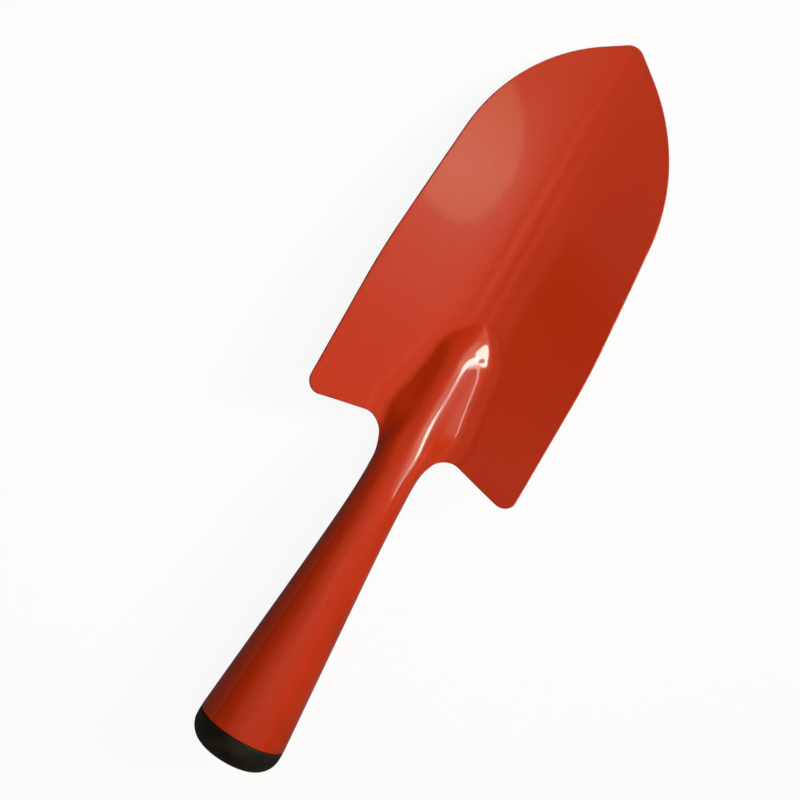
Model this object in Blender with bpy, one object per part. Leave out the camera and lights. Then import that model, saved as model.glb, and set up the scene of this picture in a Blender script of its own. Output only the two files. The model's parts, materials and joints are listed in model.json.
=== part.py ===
"""Garden trowel: one sheet of steel, pressed into a dished blade and rolled into a tube handle, with a moulded plug
pressed into the handle's open end.

Sizes are in metres. The tool is drawn in its handle's frame: X runs along the tube's axis from its open end to the
blade's tip, Y to the left and Z out of the blade's hollow side. At the end it is laid down as it rests on a floor.
"""
import math

import bmesh
import bpy
import numpy as np

# Sheet and tube handle
SHEET_THICKNESS = 0.0012
HANDLE_LENGTH = 0.1070          # open end of the tube to the kink where the sheet starts to spread
HANDLE_END_RADIUS = 0.0172
NECK_RADIUS = 0.0089
NECK_LENGTH = 0.0140            # the tube's narrow end, before the kink
TAPER_BEND = 0.0150             # length over which the taper runs out into the neck
SEAM_GAP = 0.0008               # between the sheet's two rolled edges, under the handle
SEAM_OPENING = 0.0180           # the seam starts to gape this far before the kink

# Blade, in plan
BLADE_WIDTH = 0.0891
BLADE_LENGTH = 0.1720           # throat of the notch to the tip
NOTCH_RADIUS = 0.0090           # bend of the free edge where the neck spreads
NOTCH_WIDTH = 0.0100            # half width of the neck's free edge at that bend
THROAT_DEPTH = 0.0158           # kink to the notch's foremost point
THROAT_HALF_WIDTH = 0.0136
THROAT_RADIUS = 0.0068
SHOULDER_DROOP = 0.0070         # the shoulder's corner lies this far behind the throat
SHOULDER_RADIUS = 0.0050
SHOULDER_INSET = 0.0010         # the shoulder's corner is this much narrower than the blade
SIDE_LENGTH = 0.0510            # throat to the blade's widest place
SIDE_RADIUS = 0.3000
POINT_LENGTH = 0.0296           # the tip's straight flanks, if they were drawn on to the sides
POINT_HALF_WIDTH = 0.0389
POINT_RADIUS = 0.0780
TIP_RADIUS = 0.0058

# Blade, from the side and across
KEEL_DROP = 0.0078              # floor of the blade below the handle's axis, at the kink
KEEL_PITCH = math.radians(6.0)
TIP_RISE = 0.0020
TIP_RISE_LENGTH = 0.0700
WING_SLOPE = 0.36
VALLEY_WIDTH = 0.0140           # the rounded bottom of the dish, half its width
TIP_FLATTENING = 0.45           # share of the wings' slope that is lost at the tip
TIP_FLATTENING_LENGTH = 0.1100

# Tongue
TONGUE_LENGTH = 0.0640          # kink to the tongue's nose on the blade's floor
TONGUE_CREST_BEND = 0.0100
TONGUE_CROWN_RADIUS = 0.0098    # at the neck
TONGUE_NOSE_RADIUS = 0.0145     # the crown's radius at the nose, which is flatter
TONGUE_FOOT_RADIUS = 0.0097     # at the neck; it tightens by as much as the crown flattens
TONGUE_NOSE_HEIGHT = 0.0030     # height that the crest still has where its blunt nose drops
TONGUE_NOSE_LENGTH = 0.0110
PRESS_SOFTNESS = 0.0030         # the press rounds every crease along the tool over this length
ROLLED_END = -0.0050            # where the section starts to change from rolled to pressed, from the kink
PRESSED_START = 0.0165          # and where it has changed
WING_LEAD = 0.0120              # the wings, further out than the neck, are pressed this much nearer the handle

# End plug
PLUG_HEAD_LENGTH = 0.0108
PLUG_ROUNDING = 0.0080
PLUG_SPIGOT_LENGTH = 0.0160
PLUG_WALL = 0.0020
PLUG_CLEARANCE = 0.0003
PLUG_RIB_COUNT = 8
PLUG_RIB_HEIGHT = 0.0006

# Fineness of the meshes
ROW_LENGTH = 0.0048
ROW_TURN = math.radians(16)
TUBE_ROW_LENGTH = 0.0077        # the plain taper needs fewer rows
FLANK_COLUMNS = 7               # on each side of the tongue, and as many again out to the edge
TIP_MERGE = 0.00001
PLUG_SEGMENTS = 48
PLUG_ROUNDING_STEPS = 8
SECTION_SAMPLES = 161
SECTION_REACH = 0.0600          # half the width of the drawn section, wider than any blade
PRESS_WEIGHTS = ((-1, 1), (-0.5, 3), (0, 4), (0.5, 3), (1, 1))
SMOOTH_ANGLE = math.radians(35)

# Where the mesh's rows meet the centre line while they fan round the shoulder
NOTCH_FAN_SHARE = 0.25          # of the edge from throat to shoulder, by when the rows have left the throat
NOTCH_FAN_LEAD = 0.4            # how far ahead of the throat they are then, in shoulder droops
SHOULDER_FAN_LEAD = 1.5         # and how far ahead at the shoulder's corner
FAN_END_SHARE = 0.8             # of the throat-to-widest length, where the rows run straight again
TIP_FAN_RADII = 2               # the rows fan again over this many tip radii

RED = (0.57, 0.043, 0.011, 1.0)
BLACK = (0.012, 0.011, 0.010, 1.0)


def soft_ramp(distance, bend):
    """Zero well below 0, the distance well above it, with a smooth bend between."""
    return (distance + np.sqrt(distance ** 2 + bend ** 2)) / 2


def ease(share):
    """Rise smoothly from 0 to 1."""
    share = np.clip(share, 0.0, 1.0)
    return share ** 3 * (10 - 15 * share + 6 * share ** 2)


def tube_radius(x):
    """Outer radius of the tube: an even taper that runs out into the neck."""
    taper_length = HANDLE_LENGTH - NECK_LENGTH
    share = soft_ramp(taper_length - x, TAPER_BEND) / soft_ramp(taper_length, TAPER_BEND)
    return NECK_RADIUS + (HANDLE_END_RADIUS - NECK_RADIUS) * share


def throat_x():
    return HANDLE_LENGTH + THROAT_DEPTH


def tip_x():
    return throat_x() + BLADE_LENGTH


def keel_height(x):
    """Front face of the sheet along the blade's centre line, under the tongue."""
    rise = np.clip((x - tip_x()) / TIP_RISE_LENGTH + 1, 0, None) ** 2
    return -KEEL_DROP - math.tan(KEEL_PITCH) * (x - HANDLE_LENGTH) + TIP_RISE * rise


def dish_rise(x, y):
    """How far the wings rise above the keel."""
    flattening = TIP_FLATTENING * ease((x - tip_x()) / TIP_FLATTENING_LENGTH + 1)
    return WING_SLOPE * (1 - flattening) * (np.hypot(y, VALLEY_WIDTH) - VALLEY_WIDTH)


def nose_x():
    return HANDLE_LENGTH + TONGUE_LENGTH


def tongue_height(x):
    """The tongue's crest above the keel: level with the neck, sloping down, then dropping at its blunt nose."""
    slope = (NECK_RADIUS - TONGUE_NOSE_HEIGHT - keel_height(nose_x())) / TONGUE_LENGTH
    crest = NECK_RADIUS - slope * soft_ramp(x - HANDLE_LENGTH, TONGUE_CREST_BEND)
    to_nose = np.clip((nose_x() - x) / TONGUE_NOSE_LENGTH, 0, 1)
    return np.clip(crest - keel_height(x), 0, None) * (1 - (1 - to_nose) ** 2)


def tongue_crown_radius(x):
    """Radius of the tongue's crown at x."""
    return TONGUE_CROWN_RADIUS + (TONGUE_NOSE_RADIUS - TONGUE_CROWN_RADIUS) * ease((x - HANDLE_LENGTH) / TONGUE_LENGTH)


def tongue_turn(x):
    """Cosine of the angle that the crown turns through on each side, before the foot turns back."""
    return np.clip(1 - tongue_height(x) / (TONGUE_CROWN_RADIUS + TONGUE_FOOT_RADIUS), -1, 1)


def tongue_rise(x, y):
    """The tongue: a round crown between two round feet."""
    crown_radius = tongue_crown_radius(x)
    foot_radius = TONGUE_CROWN_RADIUS + TONGUE_FOOT_RADIUS - crown_radius
    sine = np.sqrt(1 - tongue_turn(x) ** 2)
    across = np.abs(y)
    crown = tongue_height(x) - crown_radius + np.sqrt(np.clip(crown_radius ** 2 - across ** 2, 0, None))
    outside = np.clip((crown_radius + foot_radius) * sine - across, 0, None)
    foot = foot_radius - np.sqrt(np.clip(foot_radius ** 2 - outside ** 2, 0, None))
    return np.where(across < crown_radius * sine, crown, foot)


def pressed_section(x):
    """The pressed sheet across the tool at x: places across, heights, and length along the sheet."""
    across = np.linspace(0, SECTION_REACH, SECTION_SAMPLES)
    height = np.zeros(SECTION_SAMPLES)
    total = sum(weight for _, weight in PRESS_WEIGHTS)
    for place, weight in PRESS_WEIGHTS:
        near = x + place * PRESS_SOFTNESS
        height += weight / total * (keel_height(near) + dish_rise(near, across) + tongue_rise(near, across))
    length = np.concatenate([[0], np.cumsum(np.hypot(np.diff(across), np.diff(height)))])
    return across, height, length


def sheet_point(x, along):
    """A point of the sheet's front face, at x and at a length along the sheet from its centre line.

    In the handle the front face is the outside of the tube. Past the neck it is the blade's hollow side.
    """
    across, height, length = pressed_section(x)
    radius = tube_radius(x)
    rolled = np.array([radius * math.sin(along / radius), radius * math.cos(along / radius)])
    side = math.copysign(1, along)
    pressed = np.array([side * np.interp(abs(along), length, across), np.interp(abs(along), length, height)])
    neck_girth = math.pi * NECK_RADIUS
    lead = WING_LEAD * ease(2 * abs(along) / neck_girth - 1)
    share = ease((x + lead - HANDLE_LENGTH - ROLLED_END) / (PRESSED_START - ROLLED_END))
    y, z = (1 - share) * rolled + share * pressed
    return x, y, z


def seam_edge(x):
    """Length along the sheet from its centre line to its rolled edge."""
    return math.pi * tube_radius(x) - SEAM_GAP / 2


def rounded_path(corners):
    """Run along corners (x, y, radius) with an arc at each, in steps of about a tenth of ROW_LENGTH."""
    step = ROW_LENGTH / 10
    corners = [(np.array(corner[:2]), corner[2]) for corner in corners]
    points = [corners[0][0]]

    def run_to(target):
        start = points[-1]
        count = max(1, int(np.linalg.norm(target - start) / step))
        points.extend(start + (target - start) * number / count for number in range(1, count + 1))

    for (before, _), (corner, radius), (after, _) in zip(corners, corners[1:], corners[2:]):
        back = (before - corner) / np.linalg.norm(before - corner)
        onward = (after - corner) / np.linalg.norm(after - corner)
        half_angle = math.acos(np.clip(back @ onward, -1, 1)) / 2
        centre = corner + (back + onward) / np.linalg.norm(back + onward) * radius / math.sin(half_angle)
        run_to(corner + back * radius / math.tan(half_angle))
        arm = points[-1] - centre
        turn = math.copysign(math.pi - 2 * half_angle, onward[1] * back[0] - onward[0] * back[1])
        count = max(4, int(abs(turn) * radius / step))
        for number in range(1, count + 1):
            angle = -turn * number / count
            cosine, sine = math.cos(angle), math.sin(angle)
            points.append(centre + np.array([arm[0] * cosine - arm[1] * sine, arm[0] * sine + arm[1] * cosine]))
    run_to(corners[-1][0])
    return np.array(points)


def free_edge():
    """The sheet's left edge in plan, from where the seam starts to gape, round the notch and shoulder, to the tip."""
    across, _, length = pressed_section(HANDLE_LENGTH - SEAM_OPENING)
    gape_width = np.interp(seam_edge(HANDLE_LENGTH - SEAM_OPENING), length, across)
    point_start = tip_x() - POINT_LENGTH
    corners = [
        (HANDLE_LENGTH - SEAM_OPENING, gape_width, 0),
        (HANDLE_LENGTH, NOTCH_WIDTH, NOTCH_RADIUS),
        (throat_x(), THROAT_HALF_WIDTH, THROAT_RADIUS),
        (throat_x() - SHOULDER_DROOP, BLADE_WIDTH / 2 - SHOULDER_INSET, SHOULDER_RADIUS),
        (throat_x() + SIDE_LENGTH, BLADE_WIDTH / 2, SIDE_RADIUS),
        (point_start, POINT_HALF_WIDTH, POINT_RADIUS),
        (tip_x(), 0, TIP_RADIUS),
        (point_start, -POINT_HALF_WIDTH, 0),
    ]
    path = rounded_path(corners)
    half = path[path[:, 1] > 0]
    return np.vstack([half, [half[-1, 0], 0]])


def nearest(path, place):
    return int(np.argmin(np.hypot(path[:, 0] - place[0], path[:, 1] - place[1])))


def mesh_rows():
    """The mesh's rows: x on the centre line, x at the sheet's edge, and length across the sheet to that edge.

    Rows run straight across the tube and the blade. They fan out round the shoulder, clear of the notch, and round
    the tip.
    """
    gape_x = HANDLE_LENGTH - SEAM_OPENING
    tube_row_count = max(2, round(gape_x / TUBE_ROW_LENGTH))
    rows = [(x, x, seam_edge(x)) for x in np.linspace(0, gape_x, tube_row_count, endpoint=False)]

    path = free_edge()
    steps = np.diff(path, axis=0)
    headings = np.unwrap(np.arctan2(steps[:, 1], steps[:, 0]))
    turning = np.abs(np.diff(headings, prepend=headings[0]))
    measure = np.concatenate([[0], np.cumsum(np.hypot(steps[:, 0], steps[:, 1]) / ROW_LENGTH + turning / ROW_TURN)])
    throat = measure[nearest(path, (throat_x(), THROAT_HALF_WIDTH))]
    shoulder = measure[nearest(path, (throat_x() - SHOULDER_DROOP, BLADE_WIDTH / 2))]
    fan_end_x = throat_x() + FAN_END_SHARE * SIDE_LENGTH
    fan_end = measure[nearest(path, (fan_end_x, BLADE_WIDTH / 2))]
    fan_measures = [0, throat, throat + NOTCH_FAN_SHARE * (shoulder - throat), shoulder, fan_end]
    fan_leads = [gape_x] + [throat_x() + lead * SHOULDER_DROOP for lead in (0, NOTCH_FAN_LEAD, SHOULDER_FAN_LEAD)]
    fan_leads.append(fan_end_x)
    end_x = path[-1, 0]
    point_x = end_x - TIP_FAN_RADII * TIP_RADIUS
    point = np.interp(point_x, path[:, 0], measure)

    for place in np.linspace(0, measure[-1], round(measure[-1]) + 1):
        edge_x, edge_y = (np.interp(place, measure, path[:, axis]) for axis in (0, 1))
        across, _, length = pressed_section(edge_x)
        centre_x = edge_x
        if place < fan_end:
            centre_x = np.interp(place, fan_measures, fan_leads)
        elif place > point:
            centre_x = np.interp(place, (point, measure[-1]), (point_x, end_x))
        rows.append((centre_x, edge_x, np.interp(edge_y, across, length)))
    return rows


def column_lengths(centre_x, edge_length):
    """Lengths across the sheet to the mesh's columns: half of them follow the tongue's flank down to its foot."""
    even = edge_length / 2
    least = min(even, TONGUE_FOOT_RADIUS / 2)
    if centre_x < nose_x():
        girth = (TONGUE_CROWN_RADIUS + TONGUE_FOOT_RADIUS) * math.acos(tongue_turn(centre_x))
        flank = np.clip(girth, least, even)
    else:
        flank = least + (even - least) * ease((centre_x - nose_x()) / TONGUE_LENGTH)
    return np.interp(np.linspace(0, 2, 2 * FLANK_COLUMNS + 1), (0, 1, 2), (0, flank, edge_length))


def new_object(name, vertices, faces, material):
    mesh = bpy.data.meshes.new(name)
    mesh.from_pydata(vertices, [], faces)
    mesh.materials.append(material)
    mesh.validate()
    mesh.shade_smooth()
    mesh.set_sharp_from_angle(angle=SMOOTH_ANGLE)
    piece = bpy.data.objects.new(name, mesh)
    bpy.context.scene.collection.objects.link(piece)
    return piece


def make_pressed_body(material):
    """Blade, tongue, neck and tube: the front face of one sheet, thickened to its back."""
    vertices = []
    for centre_x, edge_x, edge_length in mesh_rows():
        lengths = column_lengths(centre_x, edge_length)
        for along in np.concatenate([-lengths[:0:-1], lengths]):
            share = abs(along) / edge_length if edge_length else 0
            vertices.append(sheet_point(centre_x + (edge_x - centre_x) * share, along))
    columns = 4 * FLANK_COLUMNS + 1
    faces = []
    for corner in range(len(vertices) - columns):
        if corner % columns < columns - 1:
            faces.append((corner, corner + columns, corner + columns + 1, corner + 1))

    body = new_object("pressed_body", vertices, faces, material)
    surface = bmesh.new()
    surface.from_mesh(body.data)
    bmesh.ops.remove_doubles(surface, verts=surface.verts, dist=TIP_MERGE)
    surface.to_mesh(body.data)
    surface.free()
    sheet = body.modifiers.new("Sheet", "SOLIDIFY")
    sheet.thickness = SHEET_THICKNESS
    sheet.offset = -1
    sheet.use_even_offset = True
    return body


def plug_profile():
    """The plug's turned outline, from the middle of its end face to the middle of its pocket's floor.

    Each place is (x, radius between the ribs, radius on the ribs).
    """
    seat_x = -PLUG_CLEARANCE
    end_x = seat_x - PLUG_HEAD_LENGTH
    end_radius = HANDLE_END_RADIUS - PLUG_ROUNDING
    profile = []
    for step in range(PLUG_ROUNDING_STEPS + 1):
        angle = math.radians(90) * step / PLUG_ROUNDING_STEPS
        x = end_x + PLUG_ROUNDING * (1 - math.cos(angle))
        radius = end_radius + PLUG_ROUNDING * math.sin(angle)
        profile.append((x, radius, radius))
    profile.append((seat_x, HANDLE_END_RADIUS, HANDLE_END_RADIUS))

    def spigot(x, inset=0.0):
        rib_radius = tube_radius(max(x, 0)) - SHEET_THICKNESS - PLUG_CLEARANCE - inset
        return x, rib_radius - PLUG_RIB_HEIGHT, rib_radius

    chamfer = PLUG_WALL / 2
    profile.append(spigot(seat_x))
    profile.append(spigot(PLUG_SPIGOT_LENGTH - chamfer))
    profile.append(spigot(PLUG_SPIGOT_LENGTH, chamfer))
    for x in (PLUG_SPIGOT_LENGTH, seat_x):
        pocket_radius = spigot(x)[1] - PLUG_WALL
        profile.append((x, pocket_radius, pocket_radius))
    profile.append((end_x + PLUG_WALL, end_radius, end_radius))
    return profile


def make_end_plug(material):
    """A round head, flush with the tube, and a hollow ribbed spigot inside the tube's bore."""
    segments_per_rib = PLUG_SEGMENTS // PLUG_RIB_COUNT
    vertices = []
    profile = plug_profile()
    for x, radius, rib_radius in profile:
        for segment in range(PLUG_SEGMENTS):
            angle = 2 * math.pi * segment / PLUG_SEGMENTS
            reach = rib_radius if segment % segments_per_rib < 2 else radius
            vertices.append((x, reach * math.sin(angle), reach * math.cos(angle)))
    faces = [tuple(reversed(range(PLUG_SEGMENTS)))]
    for ring in range(len(profile) - 1):
        for segment in range(PLUG_SEGMENTS):
            after = (segment + 1) % PLUG_SEGMENTS
            here, there = ring * PLUG_SEGMENTS, (ring + 1) * PLUG_SEGMENTS
            faces.append((here + segment, here + after, there + after, there + segment))
    floor = (len(profile) - 1) * PLUG_SEGMENTS
    faces.append(tuple(range(floor, floor + PLUG_SEGMENTS)))
    plug = new_object("end_plug", vertices, faces, material)
    surface = bmesh.new()
    surface.from_mesh(plug.data)
    bmesh.ops.recalc_face_normals(surface, faces=surface.faces)
    surface.to_mesh(plug.data)
    surface.free()
    return plug


def painted_steel():
    """Glossy red-orange stove enamel on steel."""
    material = bpy.data.materials.new("red_enamel")
    material.use_nodes = True
    surface = material.node_tree.nodes["Principled BSDF"]
    surface.inputs["Base Color"].default_value = RED
    surface.inputs["Roughness"].default_value = 0.28
    surface.inputs["Metallic"].default_value = 0.0
    surface.inputs["Coat Weight"].default_value = 0.5
    return material


def moulded_plastic():
    """Black moulded plastic with a dull surface."""
    material = bpy.data.materials.new("black_plastic")
    material.use_nodes = True
    surface = material.node_tree.nodes["Principled BSDF"]
    surface.inputs["Base Color"].default_value = BLACK
    surface.inputs["Roughness"].default_value = 0.5
    surface.inputs["Metallic"].default_value = 0.0
    return material


def evaluated_points(pieces):
    depsgraph = bpy.context.evaluated_depsgraph_get()
    points = []
    for piece in pieces:
        mesh = piece.evaluated_get(depsgraph).data
        points.extend(tuple(vertex.co) for vertex in mesh.vertices)
    return np.array(points)


def turned_about_y(points, angle):
    cosine, sine = math.cos(angle), math.sin(angle)
    x, y, z = points.T
    return np.stack([x * cosine + z * sine, y, z * cosine - x * sine], axis=1)


def resting_pitch(points):
    """Turn about Y at which the tool's rear half and its blade touch the floor together."""
    rear = points[:, 0] < HANDLE_LENGTH
    low, high = math.radians(-30), math.radians(30)
    for _ in range(40):
        middle = (low + high) / 2
        height = turned_about_y(points, middle)[:, 2]
        if height[~rear].min() > height[rear].min():
            low = middle
        else:
            high = middle
    return middle


def lay_down(pieces):
    """Parent the pieces to an empty that rests them on the floor, with the middle of their box over the origin."""
    points = evaluated_points(pieces)
    pitch = resting_pitch(points)
    resting = turned_about_y(points, pitch)
    low, high = resting.min(axis=0), resting.max(axis=0)
    stand = bpy.data.objects.new("resting_tool", None)
    bpy.context.scene.collection.objects.link(stand)
    stand.rotation_euler = (0, pitch, 0)
    stand.location = (-(low[0] + high[0]) / 2, -(low[1] + high[1]) / 2, -low[2])
    for piece in pieces:
        piece.parent = stand


def main():
    for piece in list(bpy.data.objects):
        bpy.data.objects.remove(piece)
    body = make_pressed_body(painted_steel())
    plug = make_end_plug(moulded_plastic())
    lay_down([body, plug])
    bpy.context.view_layer.update()


main()
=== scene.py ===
"""Garden trowel: the looks of a hand trowel pressed and rolled from one sheet of steel, with a moulded end plug.

Sizes are in metres. The sheet is drawn in the handle's frame, where X runs along the tube's axis from its open end to
the blade's tip and Z points out of the blade's hollow side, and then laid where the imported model's handle lies.
"""
import json
import math
from functools import partial

import bpy
import numpy as np
from bpy.props import FloatProperty, FloatVectorProperty, IntProperty, PointerProperty
from bpy.types import NodeSocket, Operator, Panel, PropertyGroup
from mathutils import Matrix, Vector


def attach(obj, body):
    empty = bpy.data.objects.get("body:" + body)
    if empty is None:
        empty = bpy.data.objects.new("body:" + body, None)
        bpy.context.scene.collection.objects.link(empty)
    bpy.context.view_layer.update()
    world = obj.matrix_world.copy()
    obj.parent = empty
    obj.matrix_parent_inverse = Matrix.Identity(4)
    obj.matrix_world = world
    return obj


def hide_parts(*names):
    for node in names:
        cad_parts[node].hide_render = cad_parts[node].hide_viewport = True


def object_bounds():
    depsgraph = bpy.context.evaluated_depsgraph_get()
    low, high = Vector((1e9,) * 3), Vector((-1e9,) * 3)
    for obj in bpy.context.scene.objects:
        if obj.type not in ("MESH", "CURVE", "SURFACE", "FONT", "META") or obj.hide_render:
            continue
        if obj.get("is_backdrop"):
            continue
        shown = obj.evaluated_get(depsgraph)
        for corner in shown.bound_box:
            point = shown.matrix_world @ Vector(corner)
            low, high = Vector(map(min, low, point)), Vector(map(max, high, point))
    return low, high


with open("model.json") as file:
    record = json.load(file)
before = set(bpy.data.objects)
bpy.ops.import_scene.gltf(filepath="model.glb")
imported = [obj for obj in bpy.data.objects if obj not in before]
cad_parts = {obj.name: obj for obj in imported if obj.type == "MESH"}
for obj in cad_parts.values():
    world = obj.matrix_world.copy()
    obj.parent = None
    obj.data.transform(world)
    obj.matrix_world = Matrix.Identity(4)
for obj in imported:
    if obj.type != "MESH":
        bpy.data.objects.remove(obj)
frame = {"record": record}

bl_info = {
    "name": "Garden Trowel",
    "version": (1, 0, 0),
    "blender": (4, 5, 0),
    "location": "View3D > Sidebar > Trowel",
    "description": "Pressed and enamelled steel hand trowel with a moulded end plug, on a plain studio floor",
    "category": "Add Mesh",
}

# How the sections are drawn
PRESS_STEPS = 16
SECTION_REACH = 0.0600
SECTION_SAMPLES = 301
STATION_STEP = 0.0003
SLOPE_STEP = 0.0005
PATH_STEP = 0.0004
LEAST_FLANK = 0.01  # angle below which a flank counts as flat
GROOVE_SINE = 0.2  # beside a flank steeper than this, the groove has its full depth

# Fineness of the sheet's mesh
EDGE_ROW_STEP = 0.0013
EDGE_ROW_TURN = math.radians(4)
TUBE_ROW_STEP = 0.0018
FLANK_COLUMNS = 28
TIP_MERGE = 0.00001
TIP_FAN_RADII = 2
THROAT_FAN_LEAD = 0.6
SHOULDER_FAN_LEAD = 1.5
FAN_END_SHARE = 0.8
EDGE_ARC_STEPS = 4

# The plug's mesh
PLUG_FACE_RINGS = 6
PLUG_ROUNDING_RINGS = 25
SPIGOT_RINGS = 8
RIB_SIDES = (0.5, 0.9)  # a rib's side rises between these values of a wave round the plug
PLUG_MERGE = 0.000001
SHARP_ANGLE = math.radians(35)

# Chips along the sheet's edges
EDGE_ATTRIBUTE = "edge_distance"
CHIP_REACH = 0.0011
CHIP_SOFTNESS = 0.0001

# The camera's right, up and back directions and its place, in the handle's frame
CAMERA_AXES = ((0.5074, -0.8606, 0.0449), (0.8617, 0.5066, -0.0285), (0.0018, 0.0531, 0.9986))
CAMERA_PLACE = (0.13209, 0.03597, 0.46421)

WHITE = (1.0, 1.0, 1.0, 1.0)
FLOOR_HALF = 4.0
AIM_HEIGHT = 0.005

# Sines of the angle above the floor between which the walls' light ends. Then, for the ceiling's light and a gap in
# it, a direction to the camera's right, up and back, and the cosines of the angle to it between which they begin.
WALL_LIGHT = (0.12, 0.02)
CEILING_LIGHT = ((0.4, 0.0, 1.0), 0.4, 0.8)
CEILING_GAP = ((-0.14, 0.45, 0.88), 0.994, 0.999)

# Each lamp's name, direction to the camera's right and up, distance, width, height, radiance, spread in degrees,
# colour, and a kind of ray that it is hidden from. The panel is brighter towards its middle.
LAMPS = (
    ("strip", 0.82, 0.04, 1.0, 0.26, 0.14, 26.0, 180, "key_colour", "visible_diffuse"),
    ("strip_end", 0.82, -0.19, 1.0, 0.20, 0.09, 9.0, 180, "key_colour", "visible_diffuse"),
    ("core", 0.865, 0.21, 1.0, 0.19, 0.19, 26.0, 180, "key_colour", "visible_diffuse"),
    ("panel_0", 0.76, 0.20, 1.0, 0.44, 0.34, 1.6, 180, "panel_colour", "visible_camera"),
    ("panel_1", 0.76, 0.20, 1.0, 0.33, 0.255, 1.6, 180, "panel_colour", "visible_camera"),
    ("panel_2", 0.76, 0.20, 1.0, 0.22, 0.17, 1.6, 180, "panel_colour", "visible_camera"),
    ("fill", 0.04, -0.34, 0.6, 0.20, 0.20, 5.1, 180, "key_colour", "visible_glossy"),
    ("left", -0.75, 0.35, 1.0, 0.40, 0.40, 1.5, 180, "key_colour", "visible_glossy"),
    ("side", 0.88, 0.05, 1.0, 0.40, 0.40, 0.44, 18, "key_colour", "visible_glossy"),
)


def field(kind, **settings):
    """A way to declare one kind of value that a user may change: its name, default and description."""
    return lambda name, default, description: kind(name=name, default=default, description=description, **settings)


size = field(FloatProperty, precision=5, unit="LENGTH", subtype="DISTANCE")
angle = field(FloatProperty, unit="ROTATION", subtype="ANGLE")
share = field(FloatProperty, soft_min=0.0, soft_max=1.0, subtype="FACTOR")
tint = field(FloatVectorProperty, size=3, min=0, max=1, subtype="COLOR")


class TrowelHandleSizes(PropertyGroup):
    thickness: size("Thickness", 0.0012, "Thickness of the steel sheet")
    edge_rounding: size("Edge rounding", 0.0004, "Radius of its painted edges")
    length: size("Length", 0.107, "Open end of the tube to the kink where the sheet starts to spread")
    end_radius: size("End radius", 0.0172, "Outer radius of the open end")
    neck_radius: size("Neck radius", 0.0089, "Outer radius of the neck")
    neck_length: size("Neck length", 0.014, "The tube's narrow end, before the kink")
    taper_bend: size("Taper bend", 0.015, "Length over which the taper runs out into the neck")
    seam_gap: size("Seam gap", 0.0008, "Gap between the rolled edges, under the handle")
    seam_opening: size("Seam opening", 0.018, "The seam starts to gape this far before the kink")


class TrowelBladeSizes(PropertyGroup):
    width: size("Width", 0.0891, "Width at the widest place")
    length: size("Length", 0.172, "Throat of the notch to the tip")
    notch_radius: size("Notch radius", 0.009, "Bend of the free edge where the neck spreads")
    notch_width: size("Notch width", 0.01, "Half width of the neck at that bend")
    throat_depth: size("Throat depth", 0.0158, "Kink to the notch's foremost point")
    throat_half_width: size("Throat half width", 0.0136, "Centre line to that point")
    throat_radius: size("Throat radius", 0.0068, "Rounding of the notch")
    shoulder_droop: size("Shoulder droop", 0.007, "The shoulder's corner lies this far behind the throat")
    shoulder_radius: size("Shoulder radius", 0.005, "Rounding of that corner")
    shoulder_inset: size("Shoulder inset", 0.001, "It is this much narrower than the blade")
    side_length: size("Side length", 0.051, "Throat to the widest place")
    side_radius: size("Side radius", 0.3, "Bow of the sides")
    point_length: size("Point length", 0.0296, "Length of the tip's straight flanks")
    point_half_width: size("Point half width", 0.0389, "Half width where they would meet the sides")
    point_radius: size("Point radius", 0.078, "Bow between side and flank")
    tip_radius: size("Tip radius", 0.0058, "Rounding of the tip")
    keel_drop: size("Keel drop", 0.0078, "Floor of the blade below the handle's axis, at the kink")
    keel_pitch: angle("Keel pitch", math.radians(6.0), "How steeply that floor runs down from the handle")
    tip_rise: size("Tip rise", 0.002, "The tip turns up by this much")
    tip_rise_length: size("Tip rise length", 0.07, "Length over which it turns up")
    wing_slope: share("Wing slope", 0.36, "Rise of the wings across the blade")
    valley_width: size("Valley width", 0.014, "Half width of the rounded bottom of the dish")
    crease_slope: share("Crease slope", 0.05, "Part of the wings' slope that starts in a sharp crease")
    crease_width: size("Crease width", 0.0012, "Half width of that crease")
    fold_height: size("Fold height", 0.0003, "Slight ridge along that crease, left by the press")
    fold_width: size("Fold width", 0.0018, "Half width of that ridge")
    fold_spacing: size("Fold spacing", 0.006, "A fainter ridge lies this far to each side of it")
    tip_flattening: share("Tip flattening", 0.45, "Share of the wings' slope that is lost at the tip")
    tip_flattening_length: size("Tip flattening length", 0.11, "Length over which it is lost")
    skew: share("Skew", 0.0362, "The blank lay askew in the press, one shoulder ahead")
    press_offset: size("Press offset", 0.0021, "The press struck this far off the blank's middle")


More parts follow.
